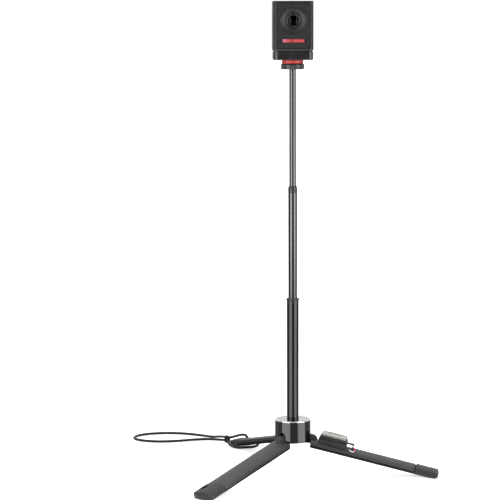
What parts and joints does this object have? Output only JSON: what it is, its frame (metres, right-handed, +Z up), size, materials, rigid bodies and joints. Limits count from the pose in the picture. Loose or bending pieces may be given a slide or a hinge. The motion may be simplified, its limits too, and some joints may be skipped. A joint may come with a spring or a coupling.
{
  "type": "webcam on telescopic tripod",
  "caption": "Small box webcam on a telescopic pole with a turning head, folding tripod legs, a slide-off remote and a wrist strap.",
  "frame": {"origin": "centre of the box round the three feet, on the floor; the pole stands near it", "axes": "+Z up along the pole; the camera looks along -Y"},
  "size_m": [0.3951, 0.3966, 0.5983],
  "materials": {
    "case_plastic": "fine matte texture",
    "plate_plastic": "fine matte texture",
    "cover_plastic": "fine matte texture",
    "base_plastic": "satin",
    "lens_ring": "satin",
    "lens_dish": "satin, turned",
    "lens_barrel": "satin",
    "front_glass": "coated glass",
    "rear_glass": "coated glass",
    "light_bar": "glossy translucent",
    "inner_plastic": "moulded",
    "circuit_board": "solder mask",
    "battery_wrap": "shrink wrap",
    "socket_steel": "stamped",
    "button_plastic": "satin",
    "screw_steel": "black oxide",
    "insert_steel": "turned",
    "red_ring": "anodised satin",
    "wheel_plastic": "satin with worn flutes",
    "stud_steel": "turned",
    "top_tube_metal": "satin black anodised",
    "mid_tube_metal": "gloss black anodised",
    "bottom_tube_metal": "gloss black anodised",
    "cap_plastic": "satin",
    "bush_plastic": "moulded",
    "hub_gloss": "mirror gloss",
    "hub_inner": "moulded",
    "leg_skin": "fine matte coating",
    "leg_lining": "moulded",
    "foot_rubber": "matte rubber",
    "pin_steel": "ground",
    "clip_plastic": "moulded",
    "remote_plastic": "moulded",
    "remote_metal": "satin dark",
    "remote_gloss": "gloss",
    "cell_steel": "stamped",
    "ring_steel": "nickel plated",
    "red_sleeve": "bound thread",
    "strap_cord": "braided",
    "strap_fitting": "moulded"
  },
  "bodies": {
    "hub": {"hub_shell": "hub_gloss", "hub_core": "hub_inner", "hub_bottom_cover": "hub_inner", "hub_screws": "screw_steel", "bottom_tube": "bottom_tube_metal", "bottom_cap": "cap_plastic", "hinge_pin_right": "pin_steel", "hinge_pin_front": "pin_steel", "hinge_pin_back": "pin_steel"},
    "mid_section": {"mid_tube": "mid_tube_metal", "mid_cap": "cap_plastic", "mid_bush": "bush_plastic"},
    "top_section": {"top_tube": "top_tube_metal", "top_bush": "bush_plastic", "camera_stud": "stud_steel"},
    "lock_wheel": {"lock_wheel": "wheel_plastic"},
    "camera": {"camera_case": "case_plastic", "front_plate": "plate_plastic", "rear_cover": "cover_plastic", "cover_screws": "screw_steel", "camera_base": "base_plastic", "tripod_insert": "insert_steel", "red_collar": "red_ring", "lens_ring": "lens_ring", "lens_dish": "lens_dish", "lens_barrel": "lens_barrel", "lens_front_glass": "front_glass", "lens_rear_glass": "rear_glass", "light_bar": "light_bar", "inner_frame": "inner_plastic", "sensor_board": "circuit_board", "main_board": "circuit_board", "battery": "battery_wrap", "usb_socket": "socket_steel"},
    "power_button": {"power_button": "button_plastic"},
    "leg_right": {"leg_right_shell": "leg_skin", "leg_right_liner": "leg_lining", "foot_right": "foot_rubber", "remote_clip": "clip_plastic"},
    "leg_front": {"leg_front_shell": "leg_skin", "leg_front_liner": "leg_lining", "foot_front": "foot_rubber"},
    "leg_back": {"leg_back_shell": "leg_skin", "leg_back_liner": "leg_lining", "foot_back": "foot_rubber", "strap_cord": "strap_cord", "strap_slider": "strap_fitting"},
    "remote": {"remote_case": "remote_plastic", "remote_cover": "remote_metal", "remote_board": "circuit_board", "coin_cell": "cell_steel"},
    "remote_button": {"remote_button": "remote_gloss"},
    "key_ring": {"split_ring": "ring_steel", "red_sleeve": "red_sleeve"}
  },
  "joints": [
    {"name": "mid_section_slide", "type": "slide", "parent": "hub", "child": "mid_section", "axis": [0, 0, -1], "range_m": [0, 0.13]},
    {"name": "top_section_slide", "type": "slide", "parent": "mid_section", "child": "top_section", "axis": [0, 0, -1], "range_m": [0, 0.14]},
    {"name": "lock_wheel_turn", "type": "hinge", "parent": "top_section", "child": "lock_wheel", "pos_m": [-0.02879, -0.01316, 0.517], "axis": [0, 0, 1], "range_deg": [0, 300]},
    {"name": "camera_pan", "type": "hinge", "parent": "top_section", "child": "camera", "pos_m": [-0.02879, -0.01316, 0.523], "axis": [0, 0, 1], "range_deg": [-170, 170]},
    {"name": "power_button_press", "type": "slide", "parent": "camera", "child": "power_button", "axis": [0, 0, -1], "range_m": [0, 0.0006], "stiffness_N_per_m": 500, "springref_m": -0.0006},
    {"name": "leg_right_fold", "type": "hinge", "parent": "hub", "child": "leg_right", "pos_m": [-0.013, -0.01575, 0.0461], "axis": [0.1616, 0.9869, 0], "range_deg": [0, 77]},
    {"name": "leg_front_fold", "type": "hinge", "parent": "hub", "child": "leg_front", "pos_m": [-0.03892, -0.02554, 0.0461], "axis": [0.7738, -0.6334, 0], "range_deg": [0, 77]},
    {"name": "leg_back_fold", "type": "hinge", "parent": "hub", "child": "leg_back", "pos_m": [-0.03444, 0.00181, 0.0461], "axis": [-0.9354, -0.3535, 0], "range_deg": [0, 77], "deforming": ["strap_cord"]},
    {"name": "remote_slide", "type": "slide", "parent": "leg_right", "child": "remote", "axis": [0.9616, -0.1575, -0.225], "range_m": [0, 0.04]},
    {"name": "remote_button_press", "type": "slide", "parent": "remote", "child": "remote_button", "axis": [-0.222, 0.0364, -0.9744], "range_m": [0, 0.0004], "stiffness_N_per_m": 400, "springref_m": -0.0006},
    {"name": "key_ring_swing", "type": "hinge", "parent": "remote", "child": "key_ring", "pos_m": [0.04622, -0.03252, 0.03536], "axis": [-0.9616, 0.1575, 0.225], "range_deg": [0, 50]}
  ]
}
